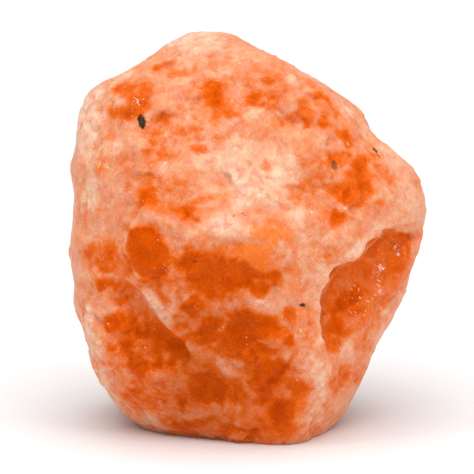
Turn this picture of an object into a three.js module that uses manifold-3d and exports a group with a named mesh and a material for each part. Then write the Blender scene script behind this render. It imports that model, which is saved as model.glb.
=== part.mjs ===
// A rough sunstone: one fist-sized lump of orange feldspar, with broken faces worn soft, fracture ledges with
// crisp rims, and a flat broken base that it stands on. Millimetres, +Z up, the front faces -Y, and the origin
// is the middle of the bounding box's bottom.
//
// The lump is drawn round its widest section, a plane through the middle that leans back from the vertical.
// In that section's frame x runs right, y runs up the plane and z comes out of it towards the front.
import * as THREE from "three";
import { mergeVertices } from "three/addons/utils/BufferGeometryUtils.js";
import { ImprovedNoise } from "three/addons/math/ImprovedNoise.js";
import Module from "manifold-3d";

const wasm = await Module();
wasm.setup();

// Driving dimensions.
const LEAN = THREE.MathUtils.degToRad(12); // how far the widest section leans back
const BASE_DROP = 31.5; // from the middle of the section down to the base plane
const FRONT_REACH = 30; // how far the unbroken lump would reach in front of the section
const BACK_REACH = 29; // and behind it
const FULLNESS = 2.4; // 2 is an ellipsoid between the rim and the front, more is boxier
const FACE_WEAR = 22; // how crisply two broken faces meet: higher is sharper
const SKIN_DETAIL = 18; // icosphere detail of the lump's skin
const CHIP_BALL = 150; // radius of the ball that leaves a chip's slightly hollow floor
const CHIP_GRAIN = 2.2; // spacing of the points on that floor
const SPLINTER = 0.08; // edges about this short, left where a chip's cut only just meets an edge, are closed up
const STONE_COLOUR = 0xe8824a;

// The widest section's outline, clockwise from the summit, as [right, up] from its middle.
const OUTLINE = [
  [-8.7, 35.3], [-4.7, 35.0], [-2.3, 34.7], [-0.7, 33.8], [1.5, 31.8], [4.0, 29.9], [8.0, 27.7], [10.5, 26.6],
  [14.5, 24.6], [17.0, 23.3], [18.8, 21.8], [20.0, 19.8], [20.8, 17.8], [22.0, 15.9], [23.4, 14.8], [25.0, 13.9],
  [26.8, 12.5], [28.2, 10.9], [29.3, 8.7], [29.9, 6.5], [30.0, 4.4], [29.7, 2.0], [29.4, -0.3], [28.8, -2.8],
  [27.9, -5.4], [27.5, -8.3], [25.5, -11.0], [23.9, -13.7], [22.5, -16.3], [21.1, -18.8], [20.4, -21.3],
  [18.9, -24.8], [17.2, -27.7], [15.6, -30.4], [13.8, -32.3], [10.6, -34.3], [6.5, -35.8], [3.0, -36.0],
  [0.0, -35.0], [-3.0, -34.0], [-7.0, -33.1], [-11.0, -32.5], [-14.0, -32.3], [-17.0, -32.1], [-19.5, -30.9],
  [-21.8, -29.0], [-23.5, -26.4], [-24.8, -23.8], [-25.7, -20.7], [-26.3, -17.5], [-26.9, -15.5], [-27.4, -12.9],
  [-28.2, -11.3], [-28.4, -9.9], [-28.4, -7.5], [-28.7, -5.5], [-29.6, -3.7], [-29.7, -2.1], [-29.3, 0.2],
  [-29.0, 2.8], [-28.8, 7.6], [-29.4, 10.1], [-30.1, 12.0], [-29.9, 13.5], [-29.2, 15.2], [-28.9, 18.1],
  [-28.7, 20.2], [-28.1, 22.1], [-27.7, 23.7], [-26.8, 24.9], [-25.5, 25.9], [-23.6, 26.8], [-20.2, 28.2],
  [-18.2, 29.2], [-15.1, 31.2], [-13.6, 32.6], [-11.9, 33.5], [-10.6, 34.6],
];

// Broken faces that the lump is cut back to: which way each faces, and how far out it lies.
const FACES = {
  upperFront: { normal: [0.05, 0.3, 0.95], out: 21.2 },
  lowerFrontLeft: { normal: [-0.16, -0.42, 0.89], out: 21.0 },
  lowerFrontRight: { normal: [0.26, -0.3, 0.92], out: 21.2 },
  leftFlank: { normal: [-0.72, 0.08, 0.69], out: 26.5 },
  rightFlank: { normal: [0.72, -0.35, 0.6], out: 22.8 },
  rightShoulder: { normal: [0.62, 0.34, 0.71], out: 25.2 },
  summitFront: { normal: [-0.25, 0.74, 0.62], out: 31.0 },
  footFront: { normal: [-0.42, -0.7, 0.58], out: 29.0 },
  footRight: { normal: [0.76, -0.47, 0.45], out: 25.8 },
  backMiddle: { normal: [0.14, 0.1, -0.98], out: 20.5 },
  backLeft: { normal: [-0.62, 0.26, -0.74], out: 25.0 },
  backRight: { normal: [0.68, -0.16, -0.72], out: 24.0 },
  backSummit: { normal: [0.08, 0.7, -0.71], out: 28.5 },
  backFoot: { normal: [-0.14, -0.5, -0.85], out: 27.0 },
};

// Lumps that swell and dip the skin: the length of each wave, and how far it moves the skin.
const LUMPS = [
  { wave: 17, swell: 1.1 },
  { wave: 8.5, swell: 0.5 },
  { wave: 4.6, swell: 0.25 },
];
const BUMP_WIDTH = 0.15; // how far out of the section a bump of the outline carries on, as the sine of the angle
const DIP_WIDTH = 0.24; // and a dip
const RIM_CALM = 0.25; // share of the swell left at the rim of the widest section, where the outline rules

const noise = new ImprovedNoise();

// Sums the lumps at a point, from -1 to 1 times each swell. seed picks another patch of the same noise.
function lumpiness(point, lumps, seed) {
  return lumps.reduce(
    (sum, { wave, swell }) =>
      sum + 2 * swell * noise.noise(point.x / wave + seed, point.y / wave - seed, point.z / wave + 2 * seed),
    0,
  );
}

// The outline as a closed smooth curve, sampled as angle and radius, with the angles rising from -PI to PI.
function sampleOutline() {
  const corners = OUTLINE.map(([right, up]) => new THREE.Vector3(right, up, 0));
  const curve = new THREE.CatmullRomCurve3(corners, true, "centripetal");
  return curve
    .getPoints(8 * corners.length)
    .map((p) => ({ angle: Math.atan2(p.y, p.x), radius: Math.hypot(p.x, p.y) }))
    .sort((a, b) => a.angle - b.angle);
}

const rim = sampleOutline();

// The outline's distance from the middle of the section, in the direction of an angle.
function rimRadius(angle) {
  const after = rim.findIndex((sample) => sample.angle >= angle);
  const next = rim[after < 0 ? 0 : after];
  const last = rim.at((after < 0 ? rim.length : after) - 1);
  const turn = (to, from) => THREE.MathUtils.euclideanModulo(to - from, 2 * Math.PI);
  const share = turn(angle, last.angle) / Math.max(turn(next.angle, last.angle), 1e-9);
  return THREE.MathUtils.lerp(last.radius, next.radius, Math.min(share, 1));
}

// The same distance averaged over the outline's small bumps and dips.
function softRimRadius(angle) {
  const steps = 5;
  const spread = THREE.MathUtils.degToRad(16);
  let sum = 0;
  for (let k = -steps; k <= steps; k++) {
    const turned = angle + (k / steps) * spread;
    sum += rimRadius(Math.atan2(Math.sin(turned), Math.cos(turned)));
  }
  return sum / (2 * steps + 1);
}

// The outline's bumps and dips fade out towards the front and back: z is how far a direction leans out of the section.
function fadedRimRadius(angle, z) {
  const soft = softRimRadius(angle);
  const detail = rimRadius(angle) - soft;
  const width = detail > 0 ? BUMP_WIDTH : DIP_WIDTH;
  return soft + detail * Math.exp(-((z / width) ** 2));
}

const faces = Object.values(FACES).map(({ normal, out }) => ({
  normal: new THREE.Vector3(...normal).normalize(),
  out,
}));

// How far the lump reaches from the middle of the section in a direction, before its swells.
function reach(way) {
  const across = Math.hypot(way.x, way.y) / fadedRimRadius(Math.atan2(way.y, way.x), way.z);
  const along = Math.abs(way.z) / (way.z > 0 ? FRONT_REACH : BACK_REACH);
  const body = (across ** FULLNESS + along ** FULLNESS) ** (FACE_WEAR / FULLNESS);
  const broken = faces.reduce(
    (sum, { normal, out }) => sum + (Math.max(normal.dot(way), 0) / out) ** FACE_WEAR,
    body,
  );
  return broken ** (-1 / FACE_WEAR);
}

// Moves every vertex of a unit icosphere to place(direction), and returns it as a solid.
function blob(detail, place) {
  const sphere = new THREE.IcosahedronGeometry(1, detail);
  sphere.deleteAttribute("normal");
  sphere.deleteAttribute("uv");
  const merged = mergeVertices(sphere, 1e-6);
  const position = merged.getAttribute("position");
  const point = new THREE.Vector3();
  for (let i = 0; i < position.count; i++) {
    point.fromBufferAttribute(position, i).normalize();
    position.setXYZ(i, ...place(point));
  }
  return solidOf(merged);
}

// A closed three.js geometry, with its shared vertices merged, as a solid.
function solidOf(geometry) {
  return new wasm.Manifold(
    new wasm.Mesh({
      numProp: 3,
      vertProperties: new Float32Array(geometry.getAttribute("position").array),
      triVerts: new Uint32Array(geometry.getIndex().array),
    }),
  );
}

function lump() {
  return blob(SKIN_DETAIL, (way) => {
    const skin = way.clone().multiplyScalar(reach(way));
    const calm = THREE.MathUtils.lerp(RIM_CALM, 1, Math.min(Math.abs(way.z) * 1.6, 1));
    return skin.addScaledVector(way, calm * lumpiness(skin, LUMPS, 3.7));
  });
}

// Fracture chips. A chip is what a plan cuts from the lump down to its floor, a slightly hollow face that lies
// deepest by the plan's inner edge and runs out level with the skin. That edge leaves a ledge with a crisp rim.
// The plan is [right, up] as seen from its side of the stone, which is turned round the section's y axis from
// the front. The floor's normal and distance are those of a face.
const CHIPS = {
  rightHollow: {
    turned: 0,
    normal: [0.67, -0.1, 0.74],
    out: 18.5,
    plan: [
      [27.5, 3.0], [25.4, 2.4], [23.4, 1.9], [21.8, 1.0], [20.6, -0.6], [19.4, -1.2], [18.6, -3.1], [16.8, -3.7],
      [15.2, -4.6], [13.9, -6.4], [13.5, -7.6], [12.2, -8.9], [11.8, -11.0], [11.8, -13.5], [12.5, -15.8],
      [12.6, -17.6], [14.2, -20.6], [20.0, -26.0], [36.0, -22.0], [36.0, 3.0],
    ],
  },
  leftHollow: {
    turned: 0,
    normal: [-0.12, -0.3, 0.945],
    out: 17.1,
    plan: [
      [-19.5, -7.2], [-18.2, -8.0], [-16.8, -10.4], [-15.8, -12.2], [-14.7, -13.5], [-13.3, -15.0], [-11.3, -16.3],
      [-10.0, -18.6], [-9.6, -22.0], [-10.5, -27.0], [-14.0, -34.0], [-36.0, -32.0], [-36.0, -6.0], [-24.0, -5.0],
    ],
  },
  backStep: {
    turned: 180,
    normal: [0.1, 0.03, -0.99],
    out: 18.3,
    plan: [
      [-36.0, -12.0], [-25.0, -10.5], [-19.5, -10.9], [-17.8, -8.6], [-12.5, -8.0], [-9.4, -8.3], [-8.1, -5.2],
      [-2.0, -3.6], [1.2, -4.1], [2.6, -1.9], [6.4, -1.2], [7.3, 1.4], [13.6, 2.2], [16.0, 1.8], [18.2, 5.0],
      [25.0, 6.4], [36.0, 9.0], [36.0, 40.0], [-36.0, 40.0],
    ],
  },
};

// A tool to cut with: the plan, carried out from the upright axis past the skin on its side of the stone.
function planPrism(plan, turned) {
  const shape = new THREE.Shape(plan.map(([right, up]) => new THREE.Vector2(right, up)));
  const geometry = new THREE.ExtrudeGeometry(shape, { depth: 60, bevelEnabled: false });
  geometry.deleteAttribute("normal");
  geometry.deleteAttribute("uv");
  return solidOf(mergeVertices(geometry.rotateY(THREE.MathUtils.degToRad(turned)), 1e-5));
}

// A slab whose underside is the chip's lumpy floor.
function floorSlab(normal, out, seed) {
  const width = 110;
  const thickness = 60;
  const steps = Math.round(width / CHIP_GRAIN);
  const slab = new THREE.BoxGeometry(width, width, thickness, steps, steps, 1).translate(0, 0, thickness / 2);
  slab.deleteAttribute("normal");
  slab.deleteAttribute("uv");
  const facing = new THREE.Vector3(...normal).normalize();
  slab.applyQuaternion(new THREE.Quaternion().setFromUnitVectors(new THREE.Vector3(0, 0, 1), facing));
  const merged = mergeVertices(slab, 1e-5);
  const position = merged.getAttribute("position");
  const point = new THREE.Vector3();
  for (let i = 0; i < position.count; i++) {
    point.fromBufferAttribute(position, i);
    const height = point.dot(facing);
    const sag = (point.lengthSq() - height ** 2) / (2 * CHIP_BALL);
    const lumps = lumpiness(point, LUMPS.slice(1), 9.1 + seed);
    if (height < thickness / 2) point.addScaledVector(facing, sag + lumps);
    position.setXYZ(i, ...point.addScaledVector(facing, out));
  }
  return solidOf(merged);
}

function chip({ turned, normal, out, plan }, seed) {
  return floorSlab(normal, out, seed).intersect(planPrism(plan, turned));
}

// Turns the section's frame upright into the part's own, so that the front faces -Y and +Z is up.
function standUp(solid) {
  const lean = new THREE.Matrix4().makeRotationX(Math.PI / 2 - LEAN);
  return solid.transform(lean.toArray());
}

// Everything below the base plane.
function ground() {
  const block = new THREE.BoxGeometry(200, 200, 100).translate(0, 0, -50 - BASE_DROP);
  block.deleteAttribute("normal");
  block.deleteAttribute("uv");
  return solidOf(mergeVertices(block));
}

// Pulls the ends of very short edges together and drops the triangles that this closes up.
function withoutSplinters(geometry) {
  const merged = mergeVertices(geometry, SPLINTER);
  const corners = [...merged.getIndex().array];
  const kept = [];
  for (let i = 0; i < corners.length; i += 3) {
    const triangle = corners.slice(i, i + 3);
    if (new Set(triangle).size === 3) kept.push(...triangle);
  }
  return merged.setIndex(kept);
}

function stoneGeometry() {
  const chipped = Object.values(CHIPS).reduce((stone, each, n) => stone.subtract(chip(each, n)), lump());
  const stone = standUp(chipped).subtract(ground());
  const { vertProperties, triVerts } = stone.getMesh();
  const geometry = new THREE.BufferGeometry()
    .setAttribute("position", new THREE.BufferAttribute(vertProperties, 3))
    .setIndex(new THREE.BufferAttribute(triVerts, 1));
  const clean = withoutSplinters(geometry);
  clean.computeBoundingBox();
  const { min, max } = clean.boundingBox;
  return clean.translate(-(min.x + max.x) / 2, -(min.y + max.y) / 2, -min.z);
}

const stone = new THREE.Mesh(
  stoneGeometry(),
  new THREE.MeshStandardMaterial({ color: STONE_COLOUR, roughness: 0.5, metalness: 0 }),
);
stone.name = "sunstone";

const part = new THREE.Group();
part.add(stone);
export default part;
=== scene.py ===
"""A rough sunstone standing on a pale studio floor.

The stone is remeshed from its solid, worn soft and given the fine relief of broken feldspar. Zones of clear
orange, bright orange and milk are painted on it in code, with painted shade, and its material breaks them up
into wisps, fibres and glints, which are partly painted highlights.

Sizes in code are in metres. Places on the stone's front are in millimetres, right of and above the middle of
its widest section, as they appear from the camera.
"""
import math

import bpy
import numpy as np
from bpy.props import FloatProperty, FloatVectorProperty, IntProperty, PointerProperty
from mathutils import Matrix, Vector, noise
from mathutils.bvhtree import BVHTree
from mathutils.kdtree import KDTree


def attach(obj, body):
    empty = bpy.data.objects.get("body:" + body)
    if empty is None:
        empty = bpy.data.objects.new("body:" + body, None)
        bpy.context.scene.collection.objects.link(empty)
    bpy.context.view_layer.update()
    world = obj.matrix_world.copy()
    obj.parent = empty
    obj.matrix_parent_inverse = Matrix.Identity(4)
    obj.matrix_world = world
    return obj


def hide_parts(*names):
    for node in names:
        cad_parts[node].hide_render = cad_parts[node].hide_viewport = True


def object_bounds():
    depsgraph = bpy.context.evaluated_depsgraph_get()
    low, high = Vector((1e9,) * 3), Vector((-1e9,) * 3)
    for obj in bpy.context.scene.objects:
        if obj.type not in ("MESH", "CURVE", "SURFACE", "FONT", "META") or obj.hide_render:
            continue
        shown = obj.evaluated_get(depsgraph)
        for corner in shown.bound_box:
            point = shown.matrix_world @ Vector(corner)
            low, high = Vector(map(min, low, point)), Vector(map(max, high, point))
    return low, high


bl_info = {
    "name": "Rough Sunstone",
    "version": (1, 0, 0),
    "blender": (4, 5, 0),
    "location": "3D View > Sidebar > Sunstone",
    "description": "Dresses a rough sunstone and sets it on a studio floor",
    "category": "Object",
}

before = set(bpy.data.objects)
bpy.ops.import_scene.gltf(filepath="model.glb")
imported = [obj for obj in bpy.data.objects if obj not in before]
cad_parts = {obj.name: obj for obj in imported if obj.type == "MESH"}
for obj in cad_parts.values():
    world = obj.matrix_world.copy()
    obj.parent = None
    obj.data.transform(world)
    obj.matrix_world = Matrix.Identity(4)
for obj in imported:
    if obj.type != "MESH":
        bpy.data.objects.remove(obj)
CAD_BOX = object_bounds()
NODE = "sunstone"
MM = 0.001

# The camera stands in front of the stone, raised a little, with a long lens.
VIEW_RISE = math.radians(12.0)
VIEW_DISTANCE = 0.6
VIEW_WIDTH = 0.07895  # width of the view at the stone's middle
VIEW_AIM = (-1.94 * MM, -1.0 * MM)  # from the box's middle to what the view is centred on, right and up
SECTION_MIDDLE = (-0.11 * MM, -1.0 * MM)  # and to the middle of the widest section

SENSOR_WIDTH = 36  # in mm
FLOOR_SIZE = 12

# Small round lights that make facets glint: how wide they are, where they stand, and their shares of the
# power.
SPARKLE_SIZE = 0.06
SPARKLES = {
    "left sparkle": ((-0.55, -0.35, 0.72), 1.0),
    "right sparkle": ((0.8, -0.45, 0.28), 2.4),
    "front sparkle": ((-0.2, -0.9, 0.15), 1.0),
}

# Zones of colour on the front: (right, up, half width, half height, strength), and a turn in degrees if there
# is one.
ORANGE_ZONES = {
    "washes": (
        (-9, -6, 15, 5, 0.5), (-11, -20, 14, 10, 0.5), (1, -24, 9, 9, 0.45), (17, -22, 4, 9, 0.12, -20),
        (-5, 22, 20, 6, 0.15, 10), (17, 12, 7, 9, 0.2), (-2, -33, 14, 3, 0.4), (-14, 7, 6, 4, 0.35),
        (13, 12, 3, 2.5, 0.25), (14, 2.5, 2.5, 2, 0.42), (-24, -3, 4, 3, 0.4), (12.5, -16.5, 3, 3, 0.3),
        (-15, 15.5, 4, 3.5, 0.3), (8.7, 7, 2.5, 2.5, 0.25), (8.7, -13, 2.5, 2.5, 0.3),
        (-14, 2, 6, 2.5, 0.1), (4.5, 1, 3.5, 2, 0.22), (1.5, -2.8, 4, 2, 0.2), (-1.3, 21.5, 2, 2, 0.15),
        (-1.5, 32.5, 3, 1.5, 0.15), (13, -3, 3, 2, 0.15, 20), (28, 10, 1.5, 3.5, 0.2), (-9, -12, 4, 2, 0.1),
    ),
    "left shoulder": (
        (-20.8, 24.6, 1.9, 1.3, 0.55, 15), (-18.2, 23, 2.1, 3.2, 0.6, -20), (-21.2, 20.8, 2.2, 1.2, 0.55),
        (-19.3, 20.6, 1.6, 1.1, 0.6), (-14.4, 19.7, 2.2, 0.9, 0.4), (-16.6, 17.6, 1.6, 0.9, 0.3, -20),
        (-15.8, 15.9, 0.7, 0.7, 0.3), (-25, 21.8, 1.4, 1, 0.2), (-24.2, 17, 1.2, 1.2, 0.2),
        (-26.3, 15, 1, 0.9, 0.25), (-24.6, 12.6, 1.2, 2.2, 0.3), (-24.4, 10.8, 1.2, 1.2, 0.3),
    ),
    "summit": (
        (-14.2, 28.3, 2.2, 1, 0.45, 15), (-11.6, 27.3, 1.9, 0.8, 0.45, 15),
        (-12.5, 29.6, 2.2, 0.9, 0.3, 20), (-6, 29, 1.1, 1.1, 0.35), (-4, 32.9, 1.9, 0.7, 0.3, -10),
        (-8.9, 28.4, 0.8, 0.7, 0.25), (-5.3, 22.8, 3, 3.8, 0.22), (-5.8, 24.6, 1.9, 1.6, 0.35),
        (-5.6, 22.6, 1.6, 1.7, 0.7), (-3.8, 20.3, 2.2, 0.9, 0.3), (0.9, 23.2, 1.3, 1.5, 0.5, -20),
        (0.6, 25.7, 1.3, 1.1, 0.3), (3, 25.8, 1.4, 0.8, 0.55, -30), (1.6, 28.3, 1.1, 0.9, 0.3),
        (4.6, 26.9, 2, 0.9, 0.25, -25), (4.5, 22.6, 3, 1.6, 0.25), (4.7, 19, 1, 0.9, 0.25),
        (-1, 19, 0.6, 0.7, 0.25),
    ),
    "right slope": (
        (10.7, 25.5, 1.1, 0.8, 0.25), (11.6, 23.6, 2, 0.7, 0.45, -10), (9.2, 22, 1.3, 1.1, 0.4, -30),
        (9.8, 20, 1, 1.3, 0.55), (7.8, 20.2, 1.5, 1.2, 0.35), (12.8, 19.1, 1.1, 1.2, 0.6),
        (12.4, 22.4, 1.8, 1.1, 0.35), (14.1, 20.7, 1.5, 0.9, 0.4), (10.8, 18.4, 2, 0.6, 0.3),
        (15.6, 17.2, 1.2, 1, 0.65), (16.7, 15.8, 1.2, 1.3, 0.55, 15), (15.6, 13.2, 2.3, 1.1, 0.35),
        (18.7, 12.2, 1.5, 1.4, 0.6), (18.2, 9.6, 2.4, 2.1, 0.7), (16.4, 7.3, 2.3, 1.4, 0.7),
        (19.4, 8, 1.5, 1.8, 0.65), (17.5, 6, 2.6, 0.9, 0.5), (21.6, 11, 1.8, 1.2, 0.35),
        (23.9, 9.4, 1.3, 1.3, 0.45), (20.5, 13.2, 1.2, 0.7, 0.35), (14, 8.2, 1.3, 0.7, 0.35),
        (11.6, 9.2, 1.4, 1.2, 0.3), (21.4, 5.3, 1.4, 0.9, 0.35), (15.5, 3, 2, 1.1, 0.45),
        (13.2, -2.8, 0.9, 0.7, 0.3), (9, 12.5, 1.5, 1, 0.25, -20), (9.3, 9, 1.2, 0.8, 0.25),
    ),
    "middle": (
        (-10.6, 17.7, 2.3, 1.2, 0.28), (-8.2, 14.8, 1.6, 1.1, 0.55, 15), (-8.5, 17.2, 0.8, 1, 0.25),
        (-19, 12.3, 4, 1.8, 0.2), (1.6, 16.7, 2.2, 0.7, 0.2), (3, 11.8, 1.3, 1.1, 0.5),
        (6.3, 15.5, 1.1, 0.5, 0.3, -40), (-16.5, 6.8, 1.8, 1.7, 0.6), (-17.2, 5.6, 0.9, 0.6, 0.4),
        (-27.2, 4.5, 0.5, 1.5, 0.4), (-24.5, 4.6, 1.5, 0.5, 0.35), (-10.8, 4.2, 1.4, 1.4, 0.4),
        (-9.4, 3.6, 1.5, 2, 0.4), (-7.3, 6.3, 1.6, 0.7, 0.4, 10), (-12.7, 7.7, 0.8, 0.7, 0.25),
        (-4, 5.5, 1.2, 0.6, 0.25), (5, 6.3, 1.5, 0.7, 0.15), (-9.7, -1.5, 0.8, 0.8, 0.35),
    ),
    "ridge": (
        (-17.4, -2.2, 2.8, 3.3, 0.95), (-15.2, -3.2, 2, 2.6, 0.85), (-15.8, -5.9, 2, 1.1, 0.65),
        (-18.8, 0.3, 1.7, 1.2, 0.75), (-20.2, 1.4, 1.1, 0.7, 0.45), (-23, -2.4, 1.2, 1.2, 0.45),
        (-26.3, -2.4, 1, 1.3, 0.45), (-24, -5, 1.8, 0.7, 0.5, -20), (-24.2, -8, 1.4, 1.2, 0.7),
        (-21.9, -8.4, 0.8, 1, 0.45), (-21.2, -10.6, 2.2, 1.1, 0.45), (-9.5, -3.8, 1.9, 1.1, 0.7),
        (-8.3, -6.2, 1.8, 2.5, 0.7), (-6, -7, 2.5, 2.6, 0.7), (-3, -6.6, 2.6, 2.4, 0.7),
        (-0.8, -6.4, 1.5, 2.3, 0.7), (-1.3, -4.1, 1.2, 0.7, 0.85), (1.6, -6, 2, 0.7, 0.7, -10),
        (4.8, -6.9, 0.9, 1.3, 0.6), (3.2, -6.3, 1, 0.6, 0.55), (2, -9, 1.6, 1.2, 0.7),
        (-11, -4.8, 1.2, 1, 0.2), (-13, -7.5, 1.6, 1, 0.2, -20), (7.3, -5.7, 2.5, 1, 0.2),
    ),
    "right hollow": (
        (25.4, 0.3, 1.8, 1, 0.6), (23, -0.8, 1.8, 1.4, 0.6), (21, -1.9, 1.7, 1.2, 0.7, 30),
        (25.8, -3.4, 1.5, 2.2, 0.6), (24.4, -5.2, 1.8, 1.4, 0.65), (19, -4.5, 1.4, 0.9, 0.6),
        (22, -3.2, 2.6, 1.7, 0.5), (22, -7, 2, 1.2, 0.55), (18.4, -8.9, 1.3, 1.1, 0.6),
        (16.4, -10.6, 2.3, 1.7, 0.65), (15.2, -12.2, 1.5, 2.1, 0.5), (19.3, -10.4, 1.6, 1, 0.4),
        (14.8, -14.8, 1.5, 1.6, 0.6), (13.6, -13.4, 1.3, 2.4, 0.4), (22.8, -10.7, 1, 1.4, 0.45),
        (21, -12.5, 1.1, 2, 0.4), (14.2, -18, 1.4, 1.2, 0.6), (13.9, -7.4, 0.8, 0.6, 0.55),
    ),
    "lower left": (
        (-21, -14.5, 3.2, 1.9, 0.8), (-17, -15.6, 2.6, 1.5, 0.7), (-22.8, -18.7, 0.9, 0.8, 0.6),
        (-20, -17.8, 1.3, 1.3, 0.8), (-13, -17.5, 2.3, 1.3, 0.9), (-11.8, -19.3, 0.9, 1.3, 0.85),
        (-18.2, -21, 1.8, 1.2, 0.9, -15), (-18, -22.5, 0.9, 1, 0.85), (-15, -21, 2.6, 1, 0.6),
        (-16, -18.5, 2.6, 1.6, 0.5), (-19.5, -26.2, 1.6, 1.2, 0.55), (-17, -28, 2, 1, 0.4),
        (-11, -27.6, 0.9, 1.7, 0.7), (-13.4, -31, 1.5, 0.9, 0.6), (-10.5, -31.5, 2, 0.7, 0.8),
    ),
    "lower middle": (
        (-9, -11.5, 2, 1.5, 0.7), (-1.5, -13, 1.7, 1.2, 0.8), (0.4, -15, 3.2, 2.4, 0.95),
        (3.6, -14.2, 2, 1.5, 0.7), (-2, -17, 2.6, 1.5, 0.85), (-6.5, -15.4, 1.7, 1.7, 0.85, 20),
        (-4.8, -18.4, 1.3, 0.8, 0.7), (-8.2, -16.8, 1.4, 0.9, 0.6), (5.2, -15.6, 1.6, 1.2, 0.5),
        (6.8, -17.1, 1, 0.7, 0.75), (6.9, -12.8, 1.2, 1.5, 0.5), (1.5, -19.6, 2, 1, 0.5),
        (3, -23, 1.9, 1.5, 0.9), (5.8, -21.8, 1, 1.3, 0.65), (2, -24.6, 1.6, 1.5, 0.8),
        (-5.8, -25, 2.3, 2.5, 0.85), (-8.4, -24.6, 1.6, 2.1, 0.75), (-1.8, -26.3, 1.4, 1.3, 0.7),
        (3, -26.6, 1.4, 1.2, 0.7), (5.5, -29, 2.1, 1.9, 0.8), (8.2, -28, 1.6, 1.6, 0.55),
        (6, -31.5, 2.6, 1, 0.5), (8.3, -25, 2, 1.5, 0.5), (-3.5, -32, 1.5, 1, 0.75),
        (-8.8, -31.2, 1.7, 0.8, 0.95), (0, -32, 1.5, 0.8, 0.4),
    ),
    "lower right": (
        (16, -22.7, 1.1, 1.7, 0.5, -20), (14.8, -24.6, 1.2, 1.5, 0.5, -20), (18.5, -23, 1.5, 2, 0.35, -20),
        (12.8, -28.3, 0.7, 1.3, 0.4), (19.5, -17.5, 1.5, 2, 0.35, -20),
    ),
}
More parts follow.
